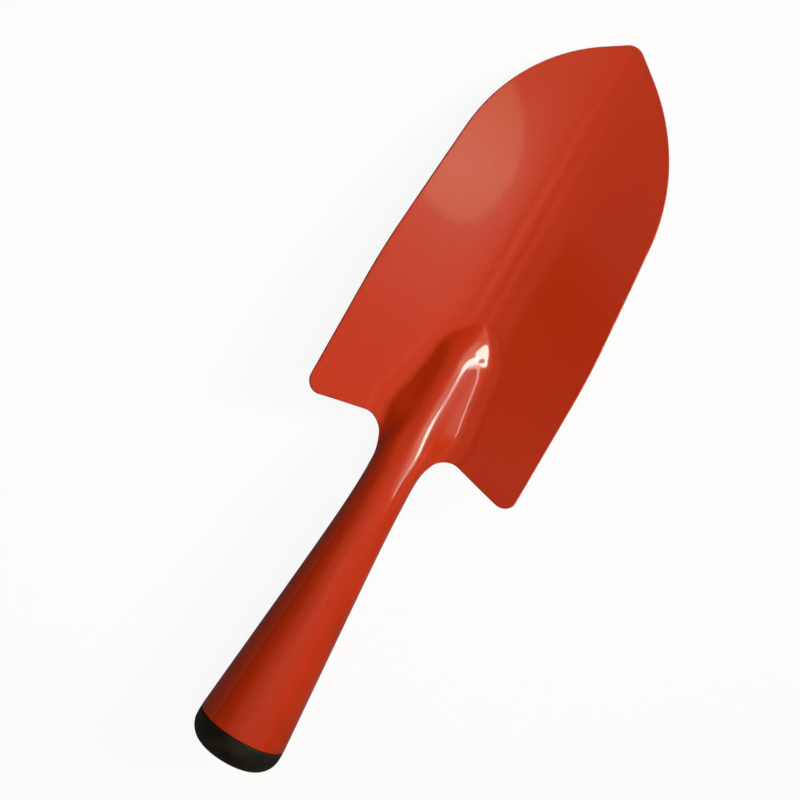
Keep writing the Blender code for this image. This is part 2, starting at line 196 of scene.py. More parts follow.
class TrowelTongueSizes(PropertyGroup):
    length: size("Length", 0.064, "Kink to the nose on the blade's floor")
    fall: share("Fall", 0.31, "Slope of the crest where it leaves the neck")
    fall_start: size("Fall start", -0.009, "Where it starts to fall, from the kink")
    ridge_fall: share("Ridge fall", 0.22, "Slope of the long ridge that follows")
    ridge_start: size("Ridge start", 0.026, "Where the ridge starts, from the kink")
    crest_bend: size("Crest bend", 0.008, "Length of the two bends in the crest")
    crown_radius: size("Crown radius", 0.0098, "Radius of the crown at the neck")
    ridge_radius: size("Ridge radius", 0.0075, "Radius of the crown along the ridge")
    nose_radius: size("Nose radius", 0.0095, "Radius of the crown at the nose")
    foot_radius: size("Foot radius", 0.0092, "Radius where the tongue meets the blade, at the neck")
    ridge_foot: size("Ridge foot", 0.0062, "That radius along the ridge and round the nose")
    neck_angle: angle("Neck angle", math.radians(78.0), "How steep the flanks are at the neck")
    flank_angle: angle("Flank angle", math.radians(36.5), "How steep they are along the ridge")
    nose_angle: angle("Nose angle", math.radians(28.5), "How steep they are where the nose drops")
    nose_length: size("Nose length", 0.02, "Length over which the nose drops")
    groove_depth: size("Groove depth", 0.00025, "Faint groove that the press left round the foot")
    groove_width: size("Groove width", 0.0025, "Width of that groove")
    softness: size("Press softness", 0.002, "Length over which the press rounds a crease")
    rolled_end: size("Rolled end", -0.005, "Where the rolled section starts to open, from the kink")
    pressed_start: size("Pressed start", 0.0165, "Where it is fully pressed, from the kink")
    wing_lead: size("Wing lead", 0.012, "The wings are pressed this much nearer the handle")


class TrowelPlugSizes(PropertyGroup):
    head_length: size("Head length", 0.0108, "Tube's end to the plug's end face")
    rounding: size("Rounding", 0.008, "Rounding of the head")
    spigot_length: size("Spigot length", 0.016, "How far the plug reaches into the tube")
    wall: size("Wall", 0.002, "Wall of the hollow plug")
    clearance: size("Clearance", 0.0003, "Gap between plug and tube")
    rib_count: field(IntProperty, min=0)("Ribs", 8, "Crush ribs round the spigot")
    rib_height: size("Rib height", 0.0006, "How far the ribs stand proud")
    segments: field(IntProperty, min=24)("Segments", 128, "Facets round the plug")


class TrowelFinish(PropertyGroup):
    enamel: tint("Enamel", (0.58, 0.036, 0.005), "Stove enamel")
    enamel_shade: tint("Enamel shade", (0.56, 0.034, 0.005), "Darker cloud in the enamel")
    scuff: tint("Scuff", (0.64, 0.13, 0.07), "Rubbed place in the enamel")
    bare_steel: tint("Bare steel", (0.16, 0.13, 0.075), "Tarnished steel in a chip")
    plastic: tint("Plastic", (0.010, 0.0085, 0.0055), "Moulded plug")
    plastic_bloom: tint("Plastic bloom", (0.022, 0.019, 0.010), "Dull bloom on the plug")


class TrowelStage(PropertyGroup):
    floor_colour: tint("Floor", (0.10, 0.10, 0.10), "Colour of the plain floor")
    floor_lift: share("Floor lift", 0.91, "Light that the camera sees the floor give off, so that it is white")
    floor_mirrored: share("Floor mirrored", 0.04, "Share of that light that glossy surfaces mirror")
    key_colour: tint("Key light", (1.0, 0.93, 0.82), "Colour of the lamps")
    panel_colour: tint("Panel light", (1.0, 0.86, 0.48), "Colour of the large dim panel")
    sky_colour: tint("Sky", (1.0, 0.96, 0.88), "Colour of the room's light")
    horizon: share("Horizon", 0.40, "Light from the room's walls, near the floor")
    ceiling: share("Ceiling", 0.30, "Light from its ceiling, brighter on the right")
    lens: FloatProperty(name="Focal length", description="Camera lens", default=57.78, unit="CAMERA")


def soft_ramp(distance, bend):
    """Zero well below 0, the distance well above it, with a smooth bend between."""
    return (distance + np.sqrt(distance ** 2 + bend ** 2)) / 2


def between(first, second, part):
    return first + (second - first) * part


def ease(amount):
    """Rise smoothly from 0 to 1."""
    amount = np.clip(amount, 0.0, 1.0)
    return amount ** 3 * (10 - 15 * amount + 6 * amount ** 2)


def rounded_path(corners):
    """Run along corners (x, y, radius) with an arc at each, in steps of PATH_STEP."""
    corners = [(np.array(corner[:2]), corner[2]) for corner in corners]
    points = [corners[0][0]]

    def run_to(target):
        start = points[-1]
        count = max(1, int(np.linalg.norm(target - start) / PATH_STEP))
        points.extend(start + (target - start) * number / count for number in range(1, count + 1))

    for (before, _), (corner, radius), (after, _) in zip(corners, corners[1:], corners[2:]):
        back = (before - corner) / np.linalg.norm(before - corner)
        onward = (after - corner) / np.linalg.norm(after - corner)
        half_angle = math.acos(np.clip(back @ onward, -1, 1)) / 2
        centre = corner + (back + onward) / np.linalg.norm(back + onward) * radius / math.sin(half_angle)
        run_to(corner + back * radius / math.tan(half_angle))
        arm = points[-1] - centre
        turn = math.copysign(math.pi - 2 * half_angle, onward[1] * back[0] - onward[0] * back[1])
        count = max(4, int(abs(turn) * radius / PATH_STEP))
        for number in range(1, count + 1):
            swing = -turn * number / count
            cosine, sine = math.cos(swing), math.sin(swing)
            points.append(centre + np.array([arm[0] * cosine - arm[1] * sine, arm[0] * sine + arm[1] * cosine]))
    run_to(corners[-1][0])
    return np.array(points)


def tube_radius(handle, x):
    """Outer radius of the tube: an even taper that runs out into the neck."""
    taper = handle.length - handle.neck_length
    part = soft_ramp(taper - x, handle.taper_bend) / soft_ramp(taper, handle.taper_bend)
    return between(handle.neck_radius, handle.end_radius, part)


class PressedSheet:
    """The sheet's front face: the outside of the tube and, past the neck, the blade's hollow side."""

    def __init__(self, handle, blade, tongue):
        self.handle, self.blade, self.tongue = handle, blade, tongue
        self.throat_x = handle.length + blade.throat_depth
        self.tip_x = self.throat_x + blade.length
        self.nose_x = handle.length + tongue.length
        self.across = np.linspace(0, SECTION_REACH, SECTION_SAMPLES)

        # Tables of the place across and the height at each length along the sheet, one row for each station
        self.first = handle.length - handle.seam_opening - SLOPE_STEP
        stations = math.ceil((self.tip_x + SLOPE_STEP - self.first) / STATION_STEP) + 2
        heights, self.lengths = self.section(self.first + STATION_STEP * np.arange(stations))
        self.place_across = np.array([np.interp(self.across, row, self.across) for row in self.lengths])
        self.height = np.array([np.interp(self.across, row, height) for row, height in zip(self.lengths, heights)])

    def seam_edge(self, x):
        """Length along the sheet from its centre line to its rolled edge."""
        return math.pi * tube_radius(self.handle, x) - self.handle.seam_gap / 2

    def keel_height(self, x):
        """Front face along the blade's centre line, under the tongue."""
        blade = self.blade
        rise = np.clip((x - self.tip_x) / blade.tip_rise_length + 1, 0, None) ** 2
        return -blade.keel_drop - math.tan(blade.keel_pitch) * (x - self.handle.length) + blade.tip_rise * rise

    def dish_rise(self, x, y):
        """How far the wings rise above the keel: a round valley with a faint crease and ridges at its bottom."""
        blade = self.blade
        flattening = blade.tip_flattening * ease((x - self.tip_x) / blade.tip_flattening_length + 1)
        valley = (blade.wing_slope - blade.crease_slope) * (np.hypot(y, blade.valley_width) - blade.valley_width)
        crease = blade.crease_slope * (np.hypot(y, blade.crease_width) - blade.crease_width)
        middle, side = (np.exp(-((y - place) / blade.fold_width) ** 2) for place in (0, blade.fold_spacing))
        return (1 - flattening) * (valley + crease + blade.fold_height * (middle + side / 2))

    def crest_fall(self, x):
        """How far the tool's crest has fallen below the level of the neck."""
        tongue = self.tongue
        beyond = x - self.handle.length
        gentler = (tongue.fall - tongue.ridge_fall) * soft_ramp(beyond - tongue.ridge_start, tongue.crest_bend)
        return tongue.fall * soft_ramp(beyond - tongue.fall_start, tongue.crest_bend) - gentler

    def tongue_height(self, x):
        """The tongue's crest above the keel: level with the neck, then a fall, a long ridge and a dropping nose."""
        left = np.clip((self.nose_x - x) / self.tongue.nose_length, 0, 1)
        crest = self.handle.neck_radius - self.crest_fall(x)
        return np.clip(crest - self.keel_height(x), 0, None) * (1 - (1 - left) ** 2)

    def tongue_flank(self, x):
        """Radii of the tongue's crown and foot, the angle of its flanks and the width of their straight part."""
        tongue = self.tongue
        settled = ease((x - self.handle.length) / tongue.ridge_start)
        blunt = ease(2 * ((x - self.nose_x) / tongue.nose_length + 1))
        foot_radius = between(tongue.foot_radius, tongue.ridge_foot, settled)
        crown_radius, steepest = (
            between(between(neck, ridge, settled), nose, blunt)
            for neck, ridge, nose in ((tongue.crown_radius, tongue.ridge_radius, tongue.nose_radius),
                                      (tongue.neck_angle, tongue.flank_angle, tongue.nose_angle)))
        height, bend = self.tongue_height(x), crown_radius + foot_radius
        flank = np.minimum(steepest, np.arccos(np.clip(1 - height / bend, -1, 1)))
        straight = np.clip(height - bend * (1 - np.cos(flank)), 0, None) / np.tan(np.maximum(flank, LEAST_FLANK))
        return crown_radius, foot_radius, flank, straight

    def tongue_rise(self, x, y):
        """The tongue: a round crown, straight flanks and round feet, with a faint groove round it."""
        tongue = self.tongue
        crown_radius, foot_radius, flank, straight = self.tongue_flank(x)
        sine = np.sin(flank)
        away = np.abs(y)
        crown_end = crown_radius * sine
        outside = crown_end + straight + foot_radius * sine - away
        crown = self.tongue_height(x) - crown_radius + np.sqrt(np.clip(crown_radius ** 2 - away ** 2, 0, None))
        slope = self.tongue_height(x) - crown_radius * (1 - np.cos(flank)) - (away - crown_end) * np.tan(flank)
        foot = foot_radius - np.sqrt(np.clip(foot_radius ** 2 - np.clip(outside, 0, None) ** 2, 0, None))
        rise = np.where(away < crown_end, crown, np.where(away < crown_end + straight, slope, foot))
        ring = np.clip(1 - ((outside + tongue.groove_width) / tongue.groove_width) ** 2, 0, None) ** 2
        return rise - tongue.groove_depth * ring * ease(sine / GROOVE_SINE)

    def section(self, stations):
        """The pressed sheet across the tool at each station: heights, and lengths along the sheet."""
        height = 0
        for step in range(1, PRESS_STEPS):
            weight = (1 - math.cos(2 * math.pi * step / PRESS_STEPS)) / PRESS_STEPS
            near = np.asarray(stations)[:, None] + (2 * step / PRESS_STEPS - 1) * self.tongue.softness
            drawn = self.keel_height(near) + self.dish_rise(near, self.across) + self.tongue_rise(near, self.across)
            height = height + weight * drawn
        steps = np.hypot(np.diff(self.across), np.diff(height, axis=1))
        return height, np.pad(np.cumsum(steps, axis=1), ((0, 0), (1, 0)))

    def read(self, table, x, distance):
        """Look up a table between its stations and samples."""
        place = np.clip((x - self.first) / STATION_STEP, 0, len(table) - 1.001)
        spot = np.clip(distance / self.across[1], 0, SECTION_SAMPLES - 1.001)
        row, column = place.astype(int), spot.astype(int)
        down, over = place - row, spot - column
        near = between(table[row, column], table[row, column + 1], over)
        far = between(table[row + 1, column], table[row + 1, column + 1], over)
        return between(near, far, down)

    def length_to(self, x, y):
        """Signed length along the pressed sheet from the tongue's crest to the place y across, at x."""
        row = int(np.clip(round((x - self.first) / STATION_STEP), 0, len(self.lengths) - 1))
        return math.copysign(np.interp(abs(y), self.across, self.lengths[row]), y)

    def press_shift(self, x, away):
        """How far to the right the press struck. The tongue's ridge keeps to the middle up to its nose."""
        tongue = self.tongue
        past_ridge = ease((x - self.nose_x) / tongue.nose_length + 1)
        held = (1 - past_ridge) * (1 - ease(away / (tongue.crown_radius + tongue.foot_radius)))
        return self.blade.press_offset * ease((x - self.handle.length) / tongue.length) * (1 - held)

    def front_face(self, x, along):
        """Points of the front face, at x and at signed lengths along the sheet from its centre line."""
        handle, tongue = self.handle, self.tongue
        radius = tube_radius(handle, x)
        distance = np.abs(along)
        lead = tongue.wing_lead * ease(2 * distance / (math.pi * handle.neck_radius) - 1)
        pressed = ease((x + lead - handle.length - tongue.rolled_end) / (tongue.pressed_start - tongue.rolled_end))
        y = between(radius * np.sin(distance / radius), self.read(self.place_across, x, distance), pressed)
        rolled = radius * np.cos(distance / radius) - self.crest_fall(x)
        z = between(rolled, self.read(self.height, x, distance), pressed)
        y = np.where(along < 0, -y, y) - self.press_shift(x, y)
        askew = self.blade.skew * y * ease((x - handle.length) / self.blade.throat_depth)
        return np.stack([x + askew, y, z], axis=-1)

    def facing(self, x, along):
        """Normals of the front face at those places."""
        ahead = self.front_face(x + SLOPE_STEP, along) - self.front_face(x - SLOPE_STEP, along)
        leftward = self.front_face(x, along + SLOPE_STEP) - self.front_face(x, along - SLOPE_STEP)
        normals = np.cross(ahead, leftward)
        return normals / np.linalg.norm(normals, axis=-1, keepdims=True)

    def free_edge(self):
        """The front face's left edge in plan, from where the seam starts to gape to the tip.

        It lies within the sheet's outline by the rounding of its edges.
        """
        blade = self.blade
        gape_x = self.handle.length - self.handle.seam_opening
        _, lengths = self.section([gape_x])
        gape_width = np.interp(self.seam_edge(gape_x), lengths[0], self.across)
        point_start = self.tip_x - blade.point_length
        path = rounded_path([
            (gape_x, gape_width, 0),
            (self.handle.length, blade.notch_width, blade.notch_radius),
            (self.throat_x, blade.throat_half_width, blade.throat_radius),
            (self.throat_x - blade.shoulder_droop, blade.width / 2 - blade.shoulder_inset, blade.shoulder_radius),
            (self.throat_x + blade.side_length, blade.width / 2, blade.side_radius),
            (point_start, blade.point_half_width, blade.point_radius),
            (self.tip_x, 0, blade.tip_radius),
            (point_start, -blade.point_half_width, 0),
        ])
        heading = np.gradient(path, axis=0)
        heading /= np.linalg.norm(heading, axis=1, keepdims=True)
        path = path + self.handle.edge_rounding * np.stack([heading[:, 1], -heading[:, 0]], axis=1)
        half = path[path[:, 1] > 0]
        return np.vstack([half, [half[-1, 0], 0]])

    def mesh_rows(self):
        """The mesh's rows: x in the middle and at the edges, and lengths to the right edge, middle and left edge."""
        rounding = self.handle.edge_rounding
        gape_x = self.handle.length - self.handle.seam_opening
        tube_places = np.linspace(rounding, gape_x, round(gape_x / TUBE_ROW_STEP), endpoint=False)
        rows = [(x, x, rounding - self.seam_edge(x), 0, self.seam_edge(x) - rounding) for x in tube_places]

        path = self.free_edge()
        steps = np.diff(path, axis=0)
        headings = np.unwrap(np.arctan2(steps[:, 1], steps[:, 0]))
        turning = np.abs(np.diff(headings, prepend=headings[0])) / EDGE_ROW_TURN
        measure = np.pad(np.cumsum(np.hypot(steps[:, 0], steps[:, 1]) / EDGE_ROW_STEP + turning), (1, 0))

        def measure_at(x, y):
            return measure[np.argmin(np.hypot(path[:, 0] - x, path[:, 1] - y))]

        blade = self.blade
        throat = measure_at(self.throat_x, blade.throat_half_width)
        shoulder = measure_at(self.throat_x - blade.shoulder_droop, blade.width / 2)
        fan_end_x = self.throat_x + FAN_END_SHARE * blade.side_length
        fan_end = measure_at(fan_end_x, blade.width / 2)
        fan_measures = [0, throat, shoulder, fan_end]
        leads = [self.throat_x + lead * blade.shoulder_droop for lead in (THROAT_FAN_LEAD, SHOULDER_FAN_LEAD)]
        fan_leads = [gape_x, *leads, fan_end_x]
        end_x = path[-1, 0]
        point_x = end_x - TIP_FAN_RADII * blade.tip_radius
        point = np.interp(point_x, path[:, 0], measure)

        for place in np.linspace(0, measure[-1], round(measure[-1]) + 1):
            edge_x, edge_y = (np.interp(place, measure, path[:, axis]) for axis in (0, 1))
            centre_x = edge_x
            if place < fan_end:
                centre_x = np.interp(place, fan_measures, fan_leads)
            elif place > point:
                centre_x = np.interp(place, (point, measure[-1]), (point_x, end_x))
            shift = self.press_shift(edge_x, SECTION_REACH)
            rows.append((centre_x, edge_x, *(self.length_to(edge_x, shift + y) for y in (-edge_y, 0, edge_y))))
        return rows

    def column_lengths(self, centre_x, edge_length):
        """Lengths across the sheet to the mesh's columns: half of them follow the tongue's flank to its foot."""
        even = edge_length / 2
        least = min(even, self.tongue.foot_radius / 2)
        if centre_x < self.nose_x:
            crown_radius, foot_radius, flank, straight = self.tongue_flank(centre_x)
            flank = np.clip((crown_radius + foot_radius) * flank + straight / math.cos(flank), least, even)
        else:
            flank = between(least, even, ease((centre_x - self.nose_x) / self.tongue.length))
        return np.interp(np.linspace(0, 2, 2 * FLANK_COLUMNS + 1), (0, 1, 2), (0, flank, edge_length))

    def front_grid(self):
        """Points of the front face in rows, its normals, and how far each point lies from the face's edge."""
        places, lengths, distances = [], [], []
        for centre_x, edge_x, right, middle, left in self.mesh_rows():
            half = (left - right) / 2
            spread = self.column_lengths(centre_x, half) / max(half, TIP_MERGE)
            along = np.concatenate([middle + (right - middle) * spread[:0:-1], middle + (left - middle) * spread])
            part = np.concatenate([spread[:0:-1], spread])
            places.append(centre_x + (edge_x - centre_x) * part)
            lengths.append(along)
            distances.append(np.minimum(along - right, left - along))
        places, lengths = np.array(places), np.array(lengths)
        return self.front_face(places, lengths), self.facing(places, lengths), np.array(distances)


def wrap_sheet(points, normals, distances, thickness, rounding):
    """Close a front face, whose last row is one point, into a sheet with rounded edges.

    Gives the vertices, their normals, their distances from the edge, and the faces.
    """
    row_count, columns = distances.shape
    tip = (row_count - 1) * columns
    side_count = tip + 1
    front, facing = points.reshape(-1, 3)[:side_count], normals.reshape(-1, 3)[:side_count]
    grid = np.arange(tip).reshape(row_count - 1, columns)
    loop = np.concatenate([grid[:, 0], [tip], grid[::-1, -1], grid[0, -2:0:-1]])
    edge, edge_facing = front[loop], facing[loop]
    outward = np.cross(np.roll(edge, -1, axis=0) - np.roll(edge, 1, axis=0), edge_facing)
    outward /= np.linalg.norm(outward, axis=1, keepdims=True)

    vertices, directions = [front, front - thickness * facing], [facing, -facing]
    rings = [loop]
    turns = np.linspace(0, math.pi / 2, EDGE_ARC_STEPS + 1)
    arcs = [(turned, rounding) for turned in turns[1:]]
    arcs += [(turned + math.pi / 2, thickness - rounding) for turned in turns]
    for turned, depth in arcs[:-1]:
        direction = edge_facing * math.cos(turned) + outward * math.sin(turned)
        rings.append(sum(map(len, vertices)) + np.arange(len(loop)))
        vertices.append(edge - depth * edge_facing + rounding * direction)
        directions.append(direction)
    rings.append(loop + side_count)

    squares = np.stack([grid[:-1, :-1], grid[1:, :-1], grid[1:, 1:], grid[:-1, 1:]], axis=-1).reshape(-1, 4)
    corner = np.stack([grid[-1, :-1], np.full(columns - 1, tip), grid[-1, 1:]], axis=-1)
    faces = squares.tolist() + corner.tolist()
    faces += (squares[:, ::-1] + side_count).tolist() + (corner[:, ::-1] + side_count).tolist()
    for upper, lower in zip(rings, rings[1:]):
        faces += np.stack([upper, lower, np.roll(lower, -1), np.roll(upper, -1)], axis=-1).tolist()
    spread = distances.ravel()[:side_count] + rounding
    edge_distances = np.concatenate([spread, spread, np.zeros(sum(map(len, vertices)) - 2 * side_count)])
    return np.concatenate(vertices), np.concatenate(directions), edge_distances, faces


def new_object(name, data):
    """A new object in the scene."""
    thing = bpy.data.objects.new(name, data)
    bpy.context.scene.collection.objects.link(thing)
    return thing


def handle_frame():
    """Where the handle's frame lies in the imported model: the plug's end face names its axis and its end."""
    mount = next(mount for mount in frame["record"]["mounts"] if mount["name"] == "plug_end")
    along = -Vector(mount["axis"]).normalized()
    left = Vector((0, 1, 0))
    turn = Matrix((along, left, along.cross(left))).transposed()
    plug = bpy.context.scene.trowel_plug
    start = Vector(mount["pos_m"]) + along * (plug.head_length + plug.clearance)
    return Matrix.Translation(start) @ turn.to_4x4()


def new_piece(name, mesh, material, node):
    """Link a finished mesh that stands for a node of the frame, and paint it."""
    mesh.materials.clear()
    mesh.materials.append(material)
    mesh.shade_smooth()
    piece = new_object(name, mesh)
    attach(piece, "root")
    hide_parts(node)
    return piece


def add_node(tree, kind, inputs=None, **settings):
    """Add a node, set its own settings, and set or link its inputs by name or number."""
    node = tree.nodes.new(kind)
    for name, value in settings.items():
        setattr(node, name, value)
    for key, value in (inputs or {}).items():
        if isinstance(value, NodeSocket):
            tree.links.new(value, node.inputs[key])
        else:
            node.inputs[key].default_value = value
    return node


def calculate(operation, *values, **settings):
    """One Math node, in the tree that its values' sockets belong to; its result's socket."""
    tree = next(value.id_data for value in values if isinstance(value, NodeSocket))
    return add_node(tree, "ShaderNodeMath", dict(enumerate(values)), operation=operation, **settings).outputs[0]


add, subtract, multiply, divide, maximum = (
    partial(calculate, operation) for operation in ("ADD", "SUBTRACT", "MULTIPLY", "DIVIDE", "MAXIMUM"))


def smooth_step(value, low, high):
    """Map a value from low..high to 0..1 with soft ends."""
    inputs = {"Value": value, "From Min": low, "From Max": high}
    return add_node(value.id_data, "ShaderNodeMapRange", inputs, interpolation_type="SMOOTHSTEP").outputs["Result"]


def noise(places, scale, detail):
    inputs = {"Vector": places, "Scale": scale, "Detail": detail}
    return add_node(places.id_data, "ShaderNodeTexNoise", inputs).outputs["Fac"]


def mix_colour(amount, first, second):
    """Go from the first colour to the second. The node's colour sockets can only be told apart by number."""
    return add_node(amount.id_data, "ShaderNodeMix", {0: amount, 6: first, 7: second}, data_type="RGBA").outputs[2]


def opaque(colour):
    return (*colour, 1.0)


def new_group(name, kind, inputs, outputs):
    """A node group; its tree, the values given to it, and the sockets for its results.

    Each input goes by its name with its default value, or with its kind of socket where it has none.
    """
    tree = bpy.data.node_groups.new(name, kind)
    for key, default in inputs.items():
        number = {float: "Float", int: "Int"}.get(type(default))
        socket = tree.interface.new_socket(key, in_out="INPUT", socket_type=f"NodeSocket{number or default}")
        if number:
            socket.default_value = default
    for key, result in outputs.items():
        tree.interface.new_socket(key, in_out="OUTPUT", socket_type=f"NodeSocket{result}")
    return tree, tree.nodes.new("NodeGroupInput").outputs, tree.nodes.new("NodeGroupOutput").inputs


def place_group(group, places, **inputs):
    """Put a shader group in a material's tree; its result's socket."""
    inputs = {name.replace("_", " "): value for name, value in inputs.items()}
    return add_node(places.id_data, "ShaderNodeGroup", {"Vector": places, **inputs}, node_tree=group).outputs[0]


def scratch_group():
    """Fine scratches: short thin lines, thick in some places and missing in others."""
    tree, given, result = new_group("Fine scratches", "ShaderNodeTree", {
        "Vector": "Vector", "Angle": 0.0, "Length": 0.02, "Width": 0.0003, "Cover": 0.2,
    }, {"Mask": "Float"})
    turned = add_node(tree, "ShaderNodeVectorRotate", {"Vector": given["Vector"], "Angle": given["Angle"]},
                      rotation_type="Z_AXIS").outputs["Vector"]
    apart = add_node(tree, "ShaderNodeSeparateXYZ", {"Vector": turned}).outputs
    stretched = add_node(tree, "ShaderNodeCombineXYZ", {
        axis: divide(apart[axis], given[side]) for axis, side in (("X", "Length"), ("Y", "Width"), ("Z", "Length"))})
    lines = noise(stretched.outputs["Vector"], scale=1.0, detail=1.0)
    patches = noise(given["Vector"], scale=45.0, detail=2.0)
    threshold = subtract(0.80, multiply(given["Cover"], patches))
    tree.links.new(smooth_step(lines, threshold, add(threshold, 0.06)), result["Mask"])
    return tree


def ripple_group():
    """Unevenness of a surface that flowed or was moulded: broad waves and a fine orange peel, as a height."""
    tree, given, result = new_group("Surface ripple", "ShaderNodeTree", {
        "Vector": "Vector", "Fine scale": 700.0, "Fine height": 0.3,
        "Broad scale": 60.0, "Broad height": 1.0,
    }, {"Height": "Float"})
    fine = multiply(noise(given["Vector"], given["Fine scale"], detail=1.5), given["Fine height"])
    broad = multiply(noise(given["Vector"], given["Broad scale"], detail=1.0), given["Broad height"])
    tree.links.new(add(fine, broad), result["Height"])
    return tree


def speck_group():
    """Sparse round specks, such as dust under the paint or pits in plastic."""
    tree, given, result = new_group("Specks", "ShaderNodeTree", {
        "Vector": "Vector", "Spacing": 0.01, "Radius": 0.0004, "Share": 0.3,
    }, {"Mask": "Float"})
    scale = divide(1.0, given["Spacing"])
    cells = add_node(tree, "ShaderNodeTexVoronoi", {"Vector": given["Vector"], "Scale": scale}).outputs
    reach = divide(given["Radius"], given["Spacing"])
    spot = smooth_step(cells["Distance"], reach, multiply(reach, 0.5))
    draw = add_node(tree, "ShaderNodeSeparateColor", {"Color": cells["Color"]}).outputs["Red"]
    tree.links.new(multiply(spot, calculate("LESS_THAN", draw, given["Share"])), result["Mask"])
    return tree


def new_material(name, colour, roughness):
    """A Principled material: its shader and the object's coordinates in its tree."""
    material = bpy.data.materials.new(name)
    material.use_nodes = True
    material.diffuse_color = opaque(colour)
    tree = material.node_tree
    shader = tree.nodes["Principled BSDF"]
    shader.inputs["Base Color"].default_value = opaque(colour)
    shader.inputs["Roughness"].default_value = roughness
    return shader, add_node(tree, "ShaderNodeTexCoord").outputs["Object"]


def finish_material(shader, colour, roughness, height, depth, plain):
    """Link what varies over the surface, with a bump of the given depth, and set what is the same everywhere."""
    tree = shader.id_data
    bump = add_node(tree, "ShaderNodeBump", {"Height": height, "Distance": depth, "Strength": 1.0})
    for name, socket in (("Base Color", colour), ("Roughness", roughness), ("Normal", bump.outputs["Normal"])):
        tree.links.new(socket, shader.inputs[name])
    for name, value in plain.items():
        shader.inputs[name].default_value = value


def stove_enamel(finish, scratches, ripple, specks):
    """Glossy stove enamel over steel: faint clouds, orange peel, fine scratches, scuffs and a few chipped edges."""
    gloss = 0.30
    shader, places = new_material("stove_enamel", finish.enamel, gloss)
    cloud = smooth_step(noise(places, scale=28.0, detail=3.0), 0.35, 0.75)
    colour = mix_colour(cloud, opaque(finish.enamel), opaque(finish.enamel_shade))

    along = place_group(scratches, places, Angle=math.radians(12), Length=0.006, Width=0.00022, Cover=0.12)
    across = place_group(scratches, places, Angle=math.radians(-68), Length=0.005, Width=0.00018, Cover=0.10)
    dust = place_group(specks, places, Spacing=0.014, Radius=0.00035, Share=0.35)
    rubbed = maximum(maximum(along, across), dust, use_clamp=True)
    colour = mix_colour(multiply(rubbed, 0.55), colour, opaque(finish.scuff))

    edge = add_node(places.id_data, "ShaderNodeAttribute", attribute_name=EDGE_ATTRIBUTE).outputs["Fac"]
    ragged = smooth_step(noise(places, scale=260.0, detail=3.0), 0.62, 0.78)
    chipped = smooth_step(subtract(multiply(ragged, CHIP_REACH), edge), 0.0, CHIP_SOFTNESS)
    colour = mix_colour(chipped, colour, opaque(finish.bare_steel))

    waves = place_group(ripple, places, Fine_scale=1000.0, Fine_height=0.80, Broad_scale=95.0, Broad_height=1.0)
    marks = add(multiply(rubbed, -0.5), multiply(chipped, -2.0))
    finish_material(shader, colour, add(multiply(rubbed, 0.25), gloss), add(waves, marks), 0.00005, {
        "Coat Weight": 0.7, "Coat Roughness": 0.05, "Coat IOR": 1.42, "Specular IOR Level": 0.12})


def moulded_plastic(finish, scratches, ripple, specks):
    """Black moulded plastic with a dull, slightly greasy bloom."""
    shader, places = new_material("moulded_plastic", finish.plastic, 0.45)
    bloom = opaque(finish.plastic_bloom)
    cloud = noise(places, scale=160.0, detail=4.0)
    colour = mix_colour(smooth_step(cloud, 0.35, 0.7), opaque(finish.plastic), bloom)
    scuffed = place_group(scratches, places, Angle=math.radians(35), Length=0.003, Width=0.00015, Cover=0.22)
    colour = mix_colour(multiply(scuffed, 0.5), colour, bloom)
    roughness = add_node(places.id_data, "ShaderNodeMapRange", {
        "Value": cloud, "From Min": 0.3, "From Max": 0.7, "To Min": 0.38, "To Max": 0.52}).outputs["Result"]
    grain = place_group(ripple, places, Fine_scale=2600.0, Fine_height=0.5, Broad_scale=300.0, Broad_height=0.6)
    pits = place_group(specks, places, Spacing=0.0022, Radius=0.00018, Share=0.25)
    height = subtract(grain, multiply(pits, 0.6))
    finish_material(shader, colour, roughness, height, 0.00003, {"Specular IOR Level": 0.3})


def finishes():
    """The two finishes, made once and shared by the pieces."""
    names = ("stove_enamel", "moulded_plastic")
    if names[0] not in bpy.data.materials:
        groups = scratch_group(), ripple_group(), speck_group()
        stove_enamel(bpy.context.scene.trowel_finish, *groups)
        moulded_plastic(bpy.context.scene.trowel_finish, *groups)
    return [bpy.data.materials[name] for name in names]


class TROWEL_OT_painted_body(Operator):
    """Make blade, tongue, neck and rolled handle as one painted sheet"""

    bl_idname = "trowel.painted_body"
    bl_label = "Painted Body"

    def execute(self, context):
        scene = context.scene
        handle = scene.trowel_handle
        sheet = PressedSheet(handle, scene.trowel_blade, scene.trowel_tongue)
        vertices, normals, distances, faces = wrap_sheet(*sheet.front_grid(), handle.thickness, handle.edge_rounding)
        place = handle_frame()
        turn = np.array(place.to_3x3()).T
        mesh = bpy.data.meshes.new("painted_body")
        mesh.from_pydata((vertices @ turn + np.array(place.translation)).tolist(), [], faces)
        edge = mesh.attributes.new(EDGE_ATTRIBUTE, "FLOAT", "POINT")
        edge.data.foreach_set("value", distances.astype(np.float32))
        new_piece("painted_body", mesh, finishes()[0], "pressed_body")
        mesh.normals_split_custom_set_from_vertices((normals @ turn).tolist())
        return {"FINISHED"}


